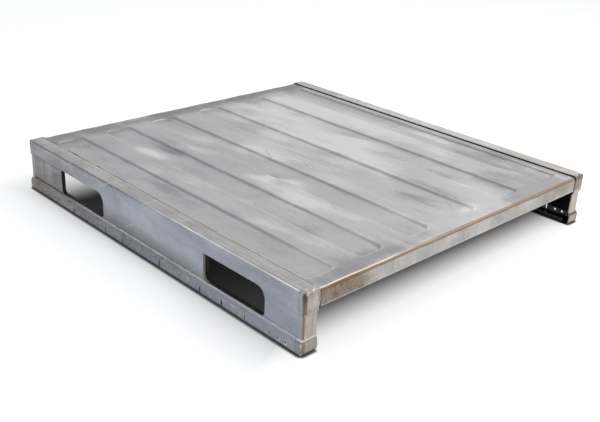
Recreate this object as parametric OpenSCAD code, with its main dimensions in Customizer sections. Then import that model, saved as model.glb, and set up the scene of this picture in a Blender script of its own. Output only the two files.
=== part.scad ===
// Pressed steel pallet with a panelled deck, two folded runners with fork windows and sheet skids.
// X runs along the runners, Y across them and Z up. The origin is under the middle of the footprint.

/* [Overall] */
// Length of the pallet along its runners
pallet_l = 1219; // [900:1:1500]
// Width over the two runner walls
pallet_w = 1143; // [800:1:1400]
// Height from the floor to the top of the runner strips
pallet_h = 158; // [140:1:200]

/* [Deck] */
// Sheet thickness of the deck
deck_t = 2; // [1.5:0.5:3]
// Drop from the runner strips down to the deck
deck_drop = 4; // [2:0.5:8]
// Outer radius of the fold along each end of the deck
deck_fold_r = 10; // [6:0.5:16]
// Radius along the two long edges of the deck
deck_side_r = 3; // [1:0.5:3]
// Height of the turned-down flange at each end
flange_h = 45; // [30:1:60]
// Width of the return at the foot of each end flange
flange_return = 12; // [8:1:20]
// Outer radius of the fold between flange and return
return_r = 4; // [3:0.5:6]
// Shadow gap between the deck and each runner strip
side_gap = 4.5; // [2:0.5:10]

/* [Pressed panels] */
// Width of one sunken panel from rim to rim
panel_w = 94; // [60:1:110]
// Depth of the sunken panels
panel_depth = 7; // [4:0.5:10]
// Width of the sloping wall round a panel
panel_slope = 8; // [5:0.5:12]
// Corner radius of a panel's floor
panel_floor_r = 8; // [3:0.5:14]
// Flat margin between the near edge of the deck and the first panel
panel_margin_near = 4.5; // [4:0.5:40]
// Flat margin between the last panel and the far edge of the deck
panel_margin_far = 22; // [4:0.5:40]
// Distance from the front end of the deck to the panels
panel_margin_front = 52; // [40:1:90]
// Distance from the rear end of the deck to the panels
panel_margin_rear = 66; // [40:1:90]
// Place of each panel between the first one and the last one
panel_steps = [0, 0.182, 0.371, 0.578, 0.793, 1];

/* [Runners] */
// Sheet thickness of the runners
runner_t = 2.5; // [2:0.5:4]
// Width of the flat strip on top of a runner
strip_w = 43; // [30:1:60]
// Outer radius of the fold between wall and strip
fold_r = 8; // [5:0.5:14]
// Outer radius of the fold on the strip's inner edge
inner_fold_r = 4; // [3:0.5:8]
// Depth of the inner turn-down that the cross bars are welded to
hanger_h = 43; // [20:1:44]
// Depth of the pressing in the wall beside the rear end
press_in = 2.5; // [1:0.5:5]
// Height of the pressing's lower edge
press_z = 46; // [45:1:60]
// Height of the pressing's upper edge
press_top_z = 115; // [80:1:116]
// Plain wall left between the pressing and the rear fork window
press_gap = 7; // [5:1:30]

/* [Fork windows] */
// Width of a fork window
window_w = 226; // [150:1:260]
// Height of a fork window
window_h = 72; // [50:1:76]
// Height of the windows' lower edge above the floor
window_z = 43; // [43:1:46]
// Distance between the two window centres of a runner
window_spread = 676; // [480:1:700]
// Shift of the pair of windows towards the front end
window_shift = 30; // [0:1:40]
// Radius of the large upper corner
window_big_r = 30; // [10:1:34]
// Radius of the two lower corners
window_low_r = 12; // [4:1:20]
// Radius of the tight upper corner
window_tight_r = 5; // [3:1:20]
// Depth of the turned-in lip round a window, from the wall's face
lip_depth = 12; // [6:1:20]
// Sheet thickness of the lip
lip_t = 2; // [1.5:0.5:3]

/* [Skids] */
// Sheet thickness of the skids
skid_t = 3; // [2:0.5:4]
// How far the skid's foot stands out from the wall
foot_out = 6; // [4:0.5:10]
// Height of the upright foot band
foot_h = 31; // [24:1:32]
// Height of the sloping part above the foot band
foot_slope = 7; // [4:0.5:7]
// Height of the flat lap welded to the wall
lap_h = 5; // [3:0.5:5]
// Width of the skid floor, inward from the wall's face
skid_reach = 43; // [38:1:60]
// Height of the turned-up inner edge
skid_lip = 10; // [6:0.5:16]
// Outer radius of the skid's lower folds
skid_r = 8; // [5:0.5:10]
// Distance between the upright slots in the foot band
slot_pitch = 85.4; // [60:0.1:120]
// Number of slots in each skid
slot_n = 13; // [5:2:15]
// Shift of the row of slots along the skid
slot_shift = -8; // [-20:1:20]
// Width of a slot
slot_w = 3.5; // [2:0.5:6]
// Height of a slot
slot_h = 14; // [8:0.5:16]
// Diameter of the two round holes near the front end
hole_d = 6; // [4:0.5:12]
// Distance from the front end to the nearer hole
hole_end = 51; // [40:1:60]
// Distance between the two holes
hole_pitch = 24; // [16:1:30]

/* [End shoes] */
// Sheet thickness of the shoes
shoe_t = 3; // [2:0.5:4]
// Length of a shoe along the runner
shoe_l = 22; // [18:1:36]
// Radius of the shoe's upright outer corner
shoe_r = 7; // [5:0.5:14]
// Radius of the shoe's upper outer corner
shoe_top_r = 11; // [6:0.5:16]
// Radius of the toe between the end face and the floor
toe_r = 12; // [6:0.5:16]
// Depth of the sunken middle of a front shoe's end face
shoe_in = 5; // [2:0.5:8]
// Upper edge of that sunken middle
shoe_top_z = 105; // [80:1:116]
// Height of the slopes above and below a sunken face
shoe_slope = 8; // [3:0.5:10]

/* [Cross bars] */
// Sheet thickness of the cross bars and end beams
bar_t = 2; // [1.5:0.5:3]
// Width of a cross bar's trough
bar_w = 40; // [30:1:60]
// Width of each flange of a cross bar
bar_flange = 15; // [8:1:24]
// Distance from each end of the pallet to the middle of the nearest cross bar
bar_end = 149.5; // [100:0.5:200]
// Outer radius of the folds in bars and beams
bar_r = 4; // [3:0.5:6]
// Depth of the end beams along the pallet
beam_d = 38; // [24:1:44]

/* [Web plates] */
// Thickness of the plates that stiffen the runners inside
plate_t = 3; // [2:0.5:5]
// Distance from a fork window to the nearest plate
plate_gap = 30; // [20:1:60]
// Clearance between a plate's foot and the skid's turned-up edge
plate_clear = 3; // [1:0.5:6]

/* [Hidden] */
$fn = 64;
cut = 1;
half_l = pallet_l/2;
half_w = pallet_w/2;
deck_z = pallet_h - deck_drop;
deck_half = half_w - strip_w - side_gap;
flange_z = deck_z - flange_h;
bar_top = deck_z - panel_depth - deck_t;
bar_low = flange_z + deck_t;
bar_l = pallet_w - 2*strip_w;
bar_pitch = (pallet_l - 2*bar_end)/4;
panel_l = pallet_l - panel_margin_front - panel_margin_rear;
panel_x = (panel_margin_rear - panel_margin_front)/2;
panel_first = -deck_half + panel_margin_near + panel_w/2;
panel_last = deck_half - panel_margin_far - panel_w/2;
wall_angle = atan(panel_depth/panel_slope);
skin = round(100*deck_t*tan(wall_angle/2))/100;
run_l = pallet_l - 2*shoe_l;
lap_z = foot_h + foot_slope;
skid_h = lap_z + lap_h;
wall_z = foot_h - foot_slope;
window_x = [window_shift - window_spread/2, window_shift + window_spread/2];
shoe_foot_z = foot_h - shoe_slope/2;
plate_x = [window_x[0] + window_w/2 + plate_gap, window_x[1] - window_w/2 - plate_gap];
shoe_mid_z = pallet_h/2;
front_recess = [shoe_in, 0, shoe_top_z];
rear_recess = [0, press_in, press_top_z];

// A quarter ring of folded sheet, in the quadrant of positive x and y
module bend(r, t) {
    intersection() {
        difference() {
            circle(r);
            circle(r - t);
        }
        square(r + cut);
    }
}

// A rectangle from a to b with its own radius at each corner, in the order lower left, lower right,
// upper right, upper left
module round_rect(a, b, r) {
    corners = [[a[0], a[1]], [b[0], a[1]], [b[0], b[1]], [a[0], b[1]]];
    inward = [[1, 1], [-1, 1], [-1, -1], [1, -1]];
    difference() {
        translate(a)
            square(b - a);
        for (i = [0:3])
            if (r[i] > 0)
                translate(corners[i])
                    scale_quadrant(inward[i])
                        difference() {
                            translate([-cut, -cut])
                                square(r[i] + cut);
                            translate([r[i], r[i]])
                                circle(r[i]);
                        }
    }
}

// Turns a shape drawn in the first quadrant into the quadrant given by two signs
module scale_quadrant(s) {
    mirror([s[0] < 0 ? 1 : 0, 0])
        mirror([0, s[1] < 0 ? 1 : 0])
            children();
}

// Draws a (y, z) section along X between two places
module along_x(x0, x1) {
    translate([x0, 0, 0])
        rotate([90, 0, 90])
            linear_extrude(x1 - x0)
                children();
}

// Draws an (x, z) section along Y between two places
module along_y(y0, y1) {
    translate([0, y1, 0])
        rotate([90, 0, 0])
            linear_extrude(y1 - y0)
                children();
}

// Moves a piece drawn from the wall's face at y = 0 inwards to the near side, or mirrors it to the far side
module on_side(far) {
    mirror([0, far ? 1 : 0, 0])
        translate([0, -half_w, 0])
            children();
}

// A tray form with sloping walls and cone corners: floor w by l at z = 0, walls leaning out by lean over h
module tray_form(l, w, h, lean, r) {
    along_y(-w/2 + r, w/2 - r)
        polygon([[-l/2, 0], [l/2, 0], [l/2 + lean, h], [-l/2 - lean, h]]);
    along_x(-l/2 + r, l/2 - r)
        polygon([[-w/2, 0], [w/2, 0], [w/2 + lean, h], [-w/2 - lean, h]]);
    for (x = [-1, 1], y = [-1, 1])
        translate([x*(l/2 - r), y*(w/2 - r), 0])
            cylinder(h = h, r1 = r, r2 = r + lean);
}

// Puts the pressed panels in their places on the deck
module at_panels() {
    for (s = panel_steps)
        translate([panel_x, panel_first + round(s*(panel_last - panel_first)), deck_z])
            children();
}

// Section of the deck sheet along X: plate, end folds, flanges and returns
module deck_section() {
    translate([-half_l + deck_fold_r, deck_z - deck_t])
        square([pallet_l - 2*deck_fold_r, deck_t]);
    for (m = [0, 1])
        mirror([m, 0]) {
            translate([half_l - deck_fold_r, deck_z - deck_fold_r])
                bend(deck_fold_r, deck_t);
            translate([half_l - deck_t, flange_z + return_r])
                square([deck_t, flange_h - deck_fold_r - return_r]);
            translate([half_l - return_r, flange_z + return_r])
                mirror([0, 1])
                    bend(return_r, deck_t);
            translate([half_l - deck_t - flange_return, flange_z])
                square([flange_return + deck_t - return_r, deck_t]);
        }
}

module deck_tray() {
    floor_l = panel_l - 2*panel_slope;
    floor_w = panel_w - 2*panel_slope;
    color("silver")
        intersection() {
            difference() {
                union() {
                    along_y(-deck_half, deck_half)
                        deck_section();
                    for (m = [0, 1])
                        mirror([0, m, 0])
                            translate([-half_l + deck_t, -deck_half, bar_top])
                                cube([pallet_l - 2*deck_t, deck_t, panel_depth + deck_t/2]);
                    at_panels()
                        translate([0, 0, -panel_depth - deck_t])
                            tray_form(
                                floor_l + 2*skin, floor_w + 2*skin,
                                panel_depth, panel_slope, panel_floor_r + skin
                            );
                }
                at_panels()
                    translate([0, 0, -panel_depth])
                        tray_form(floor_l, floor_w, 2*panel_depth, 2*panel_slope, panel_floor_r);
            }
            along_x(-half_l, half_l)
                round_rect([-deck_half, flange_z], [deck_half, deck_z], [0, 0, deck_side_r, deck_side_r]);
        }
}

// Section of a runner: wall, outer fold, strip, inner fold and turn-down
module runner_section() {
    translate([0, wall_z])
        square([runner_t, pallet_h - fold_r - wall_z]);
    translate([fold_r, pallet_h - fold_r])
        mirror([1, 0])
            bend(fold_r, runner_t);
    translate([fold_r, pallet_h - runner_t])
        square([strip_w - fold_r - inner_fold_r, runner_t]);
    translate([strip_w - inner_fold_r, pallet_h - inner_fold_r])
        bend(inner_fold_r, runner_t);
    translate([strip_w - runner_t, pallet_h - hanger_h])
        square([runner_t, hanger_h - inner_fold_r]);
}

// Outline of a fork window in (x, z), grown by g on every side
module window_outline(g) {
    round_rect(
        [-window_w/2 - g, window_z - g], [window_w/2 + g, window_z + window_h + g],
        [window_low_r + g, window_low_r + g, window_big_r + g, window_tight_r + g]
    );
}

// Section of the pressing beside the runner's rear end, from the wall's face inwards
module press_section() {
    polygon([
        [0, press_z], [press_in, press_z + 2*press_in],
        [press_in, press_top_z - 2*press_in], [0, press_top_z]
    ]);
}

module runner(far) {
    press_stop = window_x[0] - window_w/2 - press_gap;
    color("lightsteelblue")
        on_side(far)
            union() {
                difference() {
                    union() {
                        along_x(-run_l/2, run_l/2)
                            runner_section();
                        along_x(-run_l/2, press_stop)
                            translate([runner_t, 0])
                                press_section();
                    }
                    along_x(-run_l/2 - cut, press_stop - runner_t)
                        press_section();
                    for (x = window_x)
                        translate([x, 0, 0])
                            along_y(-cut, lip_depth + cut)
                                window_outline(lip_t);
                }
                for (x = window_x)
                    translate([x, 0, 0])
                        along_y(0, lip_depth)
                            difference() {
                                window_outline(lip_t);
                                window_outline(0);
                            }
            }
}

// Section of a skid's channel: foot band, floor and inner lip with the folds between them
module channel_section() {
    difference() {
        round_rect([-foot_out, 0], [skid_reach, foot_h], [skid_r, skid_r, 0, 0]);
        round_rect(
            [skid_t - foot_out, skid_t], [skid_reach - skid_t, foot_h + cut],
            [skid_r - skid_t, skid_r - skid_t, 0, 0]
        );
        translate([skid_reach - 2*skid_t, skid_lip + skid_t])
            square([3*skid_t, foot_h]);
    }
}

// Section of the slope and the lap above the foot band
module lap_section() {
    polygon([
        [-foot_out, wall_z], [-foot_out, foot_h], [-skid_t, lap_z], [-skid_t, skid_h], [0, skid_h],
        [0, lap_z], [skid_t - foot_out, foot_h], [skid_t - foot_out, wall_z]
    ]);
}

module skid(far) {
    slot_z = skid_r + slot_h/2;
    color("rosybrown")
        on_side(far)
            difference() {
                union() {
                    along_x(-run_l/2, run_l/2)
                        channel_section();
                    along_x(-run_l/2, run_l/2)
                        lap_section();
                }
                for (i = [0:slot_n - 1])
                    translate([slot_shift + (i - (slot_n - 1)/2)*slot_pitch, -foot_out, slot_z])
                        cube([slot_w, 2*skid_t, slot_h], center = true);
                for (i = [0, 1])
                    translate([half_l - hole_end - i*hole_pitch, 0, slot_z])
                        rotate([90, 0, 0])
                            cylinder(h = foot_out + cut, d = hole_d);
            }
}

// One level of a shoe: a block whose upright outer corner is round, g inside the outer faces
module shoe_level(z0, z1, in_x, in_y, g) {
    past = g > 0 ? cut : 0;
    translate([0, 0, z0])
        linear_extrude(z1 - z0)
            round_rect([in_x + g, in_y + g], [shoe_l + past, strip_w + past], [shoe_r - g, 0, 0, 0]);
}

// The full form of a shoe, g inside the outer faces. recess is its depth at the end, its depth at the
// side and the height of its upper edge
module shoe_form(recess, g) {
    low = shoe_foot_z;
    high = recess[2];
    past = g > 0 ? cut : 0;
    intersection() {
        union() {
            shoe_level(0, low, 0, -foot_out, g);
            hull() {
                shoe_level(low - 0.1, low, 0, -foot_out, g);
                shoe_level(skid_h - 0.1, skid_h, recess[0], recess[1], g);
            }
            shoe_level(skid_h - 0.1, high - shoe_slope, recess[0], recess[1], g);
            hull() {
                shoe_level(high - shoe_slope - 0.1, high - shoe_slope, recess[0], recess[1], g);
                shoe_level(high, high + 0.1, 0, 0, g);
            }
            shoe_level(high, pallet_h, 0, 0, g);
        }
        along_y(-foot_out, strip_w + past)
            round_rect([g, g], [shoe_l + past, pallet_h - g], [toe_r - g, 0, 0, shoe_top_r - g]);
        along_x(0, shoe_l + past)
            union() {
                round_rect([g - foot_out, g], [strip_w + past, shoe_mid_z + 1], [skid_r - g, 0, 0, 0]);
                round_rect([g, shoe_mid_z], [strip_w + past, pallet_h - g], [0, 0, 0, shoe_top_r - g]);
            }
    }
}

module shoe(far, rear) {
    recess = rear ? rear_recess : front_recess;
    color("tan")
        on_side(far)
            mirror([rear ? 1 : 0, 0, 0])
                translate([half_l, 0, 0])
                    mirror([1, 0, 0])
                        difference() {
                            shoe_form(recess, 0);
                            shoe_form(recess, shoe_t);
                        }
}

// Section of a hat-shaped cross bar, open towards the deck
module bar_section() {
    translate([-bar_w/2 + bar_r, bar_low])
        square([bar_w - 2*bar_r, bar_t]);
    for (m = [0, 1])
        mirror([m, 0]) {
            translate([bar_w/2 - bar_r, bar_low + bar_r])
                mirror([0, 1])
                    bend(bar_r, bar_t);
            translate([bar_w/2 - bar_t, bar_low + bar_r])
                square([bar_t, bar_top - bar_low - 2*bar_r]);
            translate([bar_w/2 - bar_t + bar_r, bar_top - bar_r])
                mirror([1, 0])
                    bend(bar_r, bar_t);
            translate([bar_w/2 - bar_t + bar_r, bar_top - bar_t])
                square([bar_flange + bar_t - bar_r, bar_t]);
        }
}

module cross_bar(i) {
    color("dimgray")
        translate([(i - 3)*bar_pitch, 0, 0])
            along_y(-bar_l/2, bar_l/2)
                bar_section();
}

// Section of an end beam: a channel whose back lies on the deck's end flange
module beam_section() {
    back = half_l - deck_t;
    translate([back - bar_t, bar_low + bar_r])
        square([bar_t, bar_top - bar_low - 2*bar_r]);
    translate([back - bar_r, bar_top - bar_r])
        bend(bar_r, bar_t);
    translate([back - bar_r, bar_low + bar_r])
        mirror([0, 1])
            bend(bar_r, bar_t);
    for (z = [bar_low, bar_top - bar_t])
        translate([back - beam_d, z])
            square([beam_d - bar_r, bar_t]);
}

module end_beam(rear) {
    color("dimgray")
        mirror([rear ? 1 : 0, 0, 0])
            along_y(-bar_l/2, bar_l/2)
                beam_section();
}

// Outline of a plate that stands inside a runner and ties wall, strip, turn-down and skid together
module plate_section() {
    foot = skid_reach - skid_r - plate_clear;
    top = pallet_h - runner_t;
    inner = strip_w - runner_t;
    polygon([
        [runner_t, skid_t], [foot, skid_t], [foot, 2*skid_r], [inner, 4*skid_r],
        [inner, top - inner_fold_r], [inner - inner_fold_r, top],
        [runner_t + fold_r, top], [runner_t, top - fold_r]
    ]);
}

module web_plate(far, front) {
    color("gray")
        on_side(far)
            translate([plate_x[front ? 1 : 0] - plate_t/2, 0, 0])
                along_x(0, plate_t)
                    plate_section();
}

deck_tray();
runner(false);  // runner_near
runner(true);  // runner_far
skid(false);  // skid_near
skid(true);  // skid_far
shoe(false, false);  // shoe_near_front
shoe(false, true);  // shoe_near_rear
shoe(true, false);  // shoe_far_front
shoe(true, true);  // shoe_far_rear
end_beam(false);  // end_beam_front
end_beam(true);  // end_beam_rear
cross_bar(1);  // cross_bar_1
cross_bar(2);  // cross_bar_2
cross_bar(3);  // cross_bar_3
cross_bar(4);  // cross_bar_4
cross_bar(5);  // cross_bar_5
web_plate(false, false);  // web_plate_near_rear
web_plate(false, true);  // web_plate_near_front
web_plate(true, false);  // web_plate_far_rear
web_plate(true, true);  // web_plate_far_front
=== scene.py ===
# %% [markdown]
# A pressed steel pallet, dressed in Blender.
#
# The pallet is a welded assembly of folded sheet: a deck with six sunken panels, two runners with fork
# windows, a skid under each runner and a pressed shoe on each of the four ends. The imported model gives
# the exact solids, and this script gives them light, worn steel and the small dents of a used pallet.
# X runs along the runners, Y across them and Z up. Lengths are in metres, except in the tables of the deck
# sheet and of the weld beads, which are in mm as the solids' source is.

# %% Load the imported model
import math

import bpy
import numpy as np
from mathutils import Matrix, Vector


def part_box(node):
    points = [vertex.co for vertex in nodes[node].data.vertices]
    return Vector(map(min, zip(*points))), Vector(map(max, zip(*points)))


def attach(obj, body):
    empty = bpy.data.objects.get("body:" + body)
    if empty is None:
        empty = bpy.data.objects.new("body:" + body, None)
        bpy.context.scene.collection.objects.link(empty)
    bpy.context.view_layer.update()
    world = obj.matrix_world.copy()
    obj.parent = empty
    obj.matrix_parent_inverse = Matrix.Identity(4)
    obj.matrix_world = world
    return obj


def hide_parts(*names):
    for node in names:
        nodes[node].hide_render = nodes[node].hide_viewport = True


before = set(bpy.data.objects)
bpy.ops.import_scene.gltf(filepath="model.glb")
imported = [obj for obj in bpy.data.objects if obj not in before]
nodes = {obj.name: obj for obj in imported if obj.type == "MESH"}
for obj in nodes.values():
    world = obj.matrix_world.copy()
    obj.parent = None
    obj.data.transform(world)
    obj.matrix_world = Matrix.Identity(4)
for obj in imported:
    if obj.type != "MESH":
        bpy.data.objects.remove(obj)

scene = bpy.context.scene
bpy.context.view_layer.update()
MM = 0.001

# %% [markdown]
# The photograph was taken from the front right corner, about a metre above the floor, with a normal lens.
# A camera is placed by the direction it looks from, its distance and a small roll, because these are the
# numbers that a fit of the pallet's corners gives.

# %% Camera
AZIMUTH, ELEVATION, ROLL = math.radians(45.53), math.radians(24.14), math.radians(2.71)
TARGET = Vector((0.0366, -0.0382, 0.0))
DISTANCE = 2.5915
SENSOR, PHOTO_W, FOCAL_PX = 36.0, 600, 858.9

level = math.cos(ELEVATION)
back = Vector((math.sin(AZIMUTH) * level, -math.cos(AZIMUTH) * level, math.sin(ELEVATION)))
side = (-back).cross(Vector((0, 0, 1))).normalized()
up = side.cross(-back)
rolled_side = side * math.cos(ROLL) + up * math.sin(ROLL)
rolled_up = up * math.cos(ROLL) - side * math.sin(ROLL)
camera_data = bpy.data.cameras.new("camera")
camera_data.sensor_width = SENSOR
camera_data.lens = FOCAL_PX / PHOTO_W * SENSOR
camera_data.clip_start, camera_data.clip_end = 0.05, 60
camera = bpy.data.objects.new("camera", camera_data)
scene.collection.objects.link(camera)
turn = Matrix((rolled_side, rolled_up, back)).transposed().to_4x4()
camera.matrix_world = Matrix.Translation(TARGET + back * DISTANCE) @ turn
scene.camera = camera
place = tuple(round(c, 3) for c in camera.matrix_world.translation)
print("camera at", place, "lens", round(camera_data.lens, 2))

# %% [markdown]
# Materials are built from small nodes. Writing each node with its links by hand would bury the finish in
# wiring, so one small class adds a node per call and hands back its output. A finish then reads like a
# list of layers: clean steel, mottling, stains, rust, scratches.

# %% A small builder for materials
class Finish:
    """A material whose nodes are added one call at a time. Most methods return an output socket, lay covers
    the colour so far, and finish returns the material."""

    def __init__(self, name):
        self.material = bpy.data.materials.new(name)
        self.material.use_nodes = True
        self.tree = self.material.node_tree
        self.shader = self.tree.nodes["Principled BSDF"]
        self.colour = (0.5, 0.5, 0.5)
        self.place = self.tree.nodes.new("ShaderNodeTexCoord").outputs["Object"]
        self.normal = self.tree.nodes.new("ShaderNodeTexCoord").outputs["Normal"]
        split = self.tree.nodes.new("ShaderNodeSeparateXYZ")
        self.join(self.place, split.inputs[0])
        self.x, self.y, self.z = split.outputs
        lean = self.tree.nodes.new("ShaderNodeSeparateXYZ")
        self.join(self.normal, lean.inputs[0])
        self.nx, self.ny, self.nz = lean.outputs

    def join(self, value, socket):
        """Links an output to a socket, or writes a plain number or colour into it."""
        if isinstance(value, bpy.types.NodeSocket):
            self.tree.links.new(value, socket)
        elif socket.type == "RGBA" and len(value) == 3:
            socket.default_value = (*value, 1)
        else:
            socket.default_value = value

    def math(self, kind, a, b=0.0, clamp=False):
        node = self.tree.nodes.new("ShaderNodeMath")
        node.operation, node.use_clamp = kind, clamp
        self.join(a, node.inputs[0])
        self.join(b, node.inputs[1])
        return node.outputs[0]

    def chain(self, kind, values):
        """Takes the values together one after the other, with one kind of Math node."""
        result = values[0]
        for value in values[1:]:
            result = self.math(kind, result, value)
        return result

    def times(self, *values):
        return self.chain("MULTIPLY", values)

    def add(self, *values):
        return self.chain("ADD", values)

    def most(self, *values):
        return self.chain("MAXIMUM", values)

    def less(self, a, b):
        return self.math("SUBTRACT", a, b)

    def size(self, value):
        """The value without its sign."""
        return self.math("ABSOLUTE", value)

    def span(self, value, low, high, to_low=0.0, to_high=1.0):
        """A smooth step: to_low where value is at low, to_high where it is at high."""
        node = self.tree.nodes.new("ShaderNodeMapRange")
        node.interpolation_type = "SMOOTHSTEP"
        for socket, number in zip(list(node.inputs)[:5], (value, low, high, to_low, to_high)):
            self.join(number, socket)
        return node.outputs[0]

    def band(self, value, centre, half, soft):
        """1 within half of centre and 0 beyond half + soft."""
        away = self.size(self.less(value, centre))
        return self.span(away, half, half + soft, 1.0, 0.0)

    def stretched(self, stretch=(1, 1, 1), shift=(0, 0, 0), turn=0.0):
        """The place on the object for a pattern to read: turned first, about Z unless turn gives three
        angles, and then scaled per axis, so that a stretched pattern runs in the turned direction."""
        node = self.tree.nodes.new("ShaderNodeMapping")
        self.join(self.place, node.inputs["Vector"])
        node.inputs["Location"].default_value = shift
        if not turn:
            node.inputs["Scale"].default_value = stretch
            return node.outputs[0]
        node.vector_type = "TEXTURE"
        node.inputs["Scale"].default_value = [1 / max(s, 0.001) for s in stretch]
        node.inputs["Rotation"].default_value = (0, 0, turn) if isinstance(turn, float) else turn
        return node.outputs[0]

    def noise(self, scale, detail=3.0, rough=0.55, stretch=(1, 1, 1), shift=(0, 0, 0), turn=0.0, twist=0.0):
        """Cloudy noise with scale clouds per metre, centred on about 0.5."""
        node = self.tree.nodes.new("ShaderNodeTexNoise")
        self.join(self.stretched(stretch, shift, turn), node.inputs["Vector"])
        settings = {"Scale": scale, "Detail": detail, "Roughness": rough, "Distortion": twist}
        for name, number in settings.items():
            node.inputs[name].default_value = number
        return node.outputs[0]

    def mix(self, share, a, b):
        """Colour a where share is 0, colour b where it is 1."""
        node = self.tree.nodes.new("ShaderNodeMix")
        node.data_type = "RGBA"
        self.join(share, node.inputs[0])
        self.join(a, node.inputs[6])
        self.join(b, node.inputs[7])
        return node.outputs[2]

    def ramp(self, value, low, high, a, b):
        """Colour a where value is at low, colour b where it is at high."""
        return self.mix(self.span(value, low, high), a, b)

    def lay(self, over, *shares):
        """Lays another colour over the one so far: none of it where the shares' product is 0, all where 1."""
        self.colour = self.mix(self.times(*shares), self.colour, over)

    def blend(self, share, a, b):
        """Number a where share is 0, number b where it is 1."""
        node = self.tree.nodes.new("ShaderNodeMix")
        self.join(share, node.inputs[0])
        self.join(a, node.inputs[2])
        self.join(b, node.inputs[3])
        return node.outputs[0]

    def attribute(self, name):
        node = self.tree.nodes.new("ShaderNodeAttribute")
        node.attribute_name = name
        return node.outputs["Fac"]

    def scratches(self, width, upright=False):
        """Thin broken lines in three directions, where long stretched noise crosses its middle value."""
        directions = ((0.1, 1.6, 26.0), (0.75, 3.0, 34.0), (-0.5, 2.4, 30.0))   # angle, along, across
        marks = []
        for number, (turn, along, across) in enumerate(directions):
            stretch = (along, 0.001, across) if upright else (along, across, 0.001)
            angles = (0.0, turn, 0.0) if upright else (0.0, 0.0, turn)
            shift = (0.3 * number, 0.17 * number, 0.4)
            grain = self.noise(1.0, 1.0, 0.5, stretch, shift, angles)
            away = self.size(self.less(grain, 0.5))
            sparse = self.noise(1.0, 1.0, 0.5, [3 * s for s in stretch], (0.7, 0.2 * number, 0.1), angles)
            line = self.span(away, 0.4 * width, width, 1.0, 0.0)
            marks.append(self.times(line, self.span(sparse, 0.56, 0.62)))
        return self.most(*marks)

    def finish(self, metallic, roughness, height=None, depth=0.0, bevel=0.0):
        """Wires the layers into the shader. height is turned into a bump that is depth metres deep, and
        bevel is the radius by which sharp edges are rounded for the shading."""
        self.join(self.colour, self.shader.inputs["Base Color"])
        self.join(metallic, self.shader.inputs["Metallic"])
        self.join(roughness, self.shader.inputs["Roughness"])
        normal = None
        if bevel:
            round_edge = self.tree.nodes.new("ShaderNodeBevel")
            round_edge.samples = 4
            round_edge.inputs["Radius"].default_value = bevel
            normal = round_edge.outputs[0]
        if height is not None:
            bump = self.tree.nodes.new("ShaderNodeBump")
            bump.inputs["Strength"].default_value = 1.0
            bump.inputs["Distance"].default_value = depth
            self.join(height, bump.inputs["Height"])
            if normal is not None:
                self.join(normal, bump.inputs["Normal"])
            normal = bump.outputs[0]
        if normal is not None:
            self.join(normal, self.shader.inputs["Normal"])
        return self.material

# %% [markdown]
# The deck is one sheet. On the real pallet a press pushes six long panels down into it, and then both ends
# are folded into a flange with a small return. The CAD solid has the exact form with sharp rims. Here the
# sheet is worked out again as a surface, so that the rims are round enough to catch light and the sheet
# can carry the dents and soft buckles of a pallet that has been loaded for years.
#
# The surface is a profile carried across the pallet: the profile is the sheet's section along X, from the
# rear return over the deck to the front return, and a second parameter runs across along Y. Pressing and
# dents then push each point inwards along the profile's own normal.

# %% Sizes of the deck sheet in mm, the same as the solid's
HALF_L, HALF_W = 609.5, 524.0
DECK_Z, FLANGE_Z, SHEET = 154.0, 109.0, 2.0
FOLD_R, RETURN_R, RETURN_W, SIDE_R, LIP = 10.0, 4.0, 12.0, 3.0, 9.0
PANEL_W, PANEL_DEPTH, PANEL_SLOPE, CORNER_R = 94.0, 7.0, 8.0, 16.0
PANEL_X = (-543.5, 557.5)
FIRST_Y, LAST_Y = -472.5, 455.0
PANEL_Y = tuple(FIRST_Y + round(step * (LAST_Y - FIRST_Y)) for step in (0, 0.182, 0.371, 0.578, 0.793, 1))
ROUNDING = 1.3
print("panel middles (mm):", PANEL_Y)


# %% [markdown]
# A pressed panel is described by its distance function: how far a point lies inside the rim, which is a
# rectangle with round corners. The wall is a ramp over that distance, and each end of the ramp is eased
# over a little more than a millimetre to either side, as a pressed sheet is.

# %% How far inside a panel a point lies, and how deep the press goes there
def inside_rim(x, y):
    """Distance inward from the nearest panel's rim. For a rectangle with half sides a, b and corner radius
    r it is r - length(max(|p| - (a - r, b - r), 0)) - min(max(|p| - (a - r, b - r)), 0)."""
    middle, half = sum(PANEL_X) / 2, (PANEL_X[1] - PANEL_X[0]) / 2
    best = np.full(np.broadcast(x, y).shape, -1e9)
    for centre in PANEL_Y:
        dx = np.abs(x - middle) - (half - CORNER_R)
        dy = np.abs(y - centre) - (PANEL_W / 2 - CORNER_R)
        outside = np.hypot(np.maximum(dx, 0), np.maximum(dy, 0))
        best = np.maximum(best, CORNER_R - outside - np.minimum(np.maximum(dx, dy), 0))
    return best


def eased(u):
    """A ramp that is 0 below -k and u above k, joined by the parabola (u + k)^2 / 4k, with k the rounding."""
    k = ROUNDING
    return np.where(u < -k, 0, np.where(u > k, u, (u + k) ** 2 / (4 * k)))


def press(x, y):
    """Depth of the pressing: an eased ramp of the panel's depth over the width of its sloping wall."""
    u = inside_rim(x, y)
    return PANEL_DEPTH / PANEL_SLOPE * (eased(u) - eased(u - PANEL_SLOPE))

# %% [markdown]
# Dents are soft round or oval hollows. Each is a bell curve with its own place, size and direction, which
# is the shape a rounded load leaves in thin sheet. A few long shallow waves are added, because a sheet
# that is welded at its edges never stays quite flat between its bars.

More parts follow.
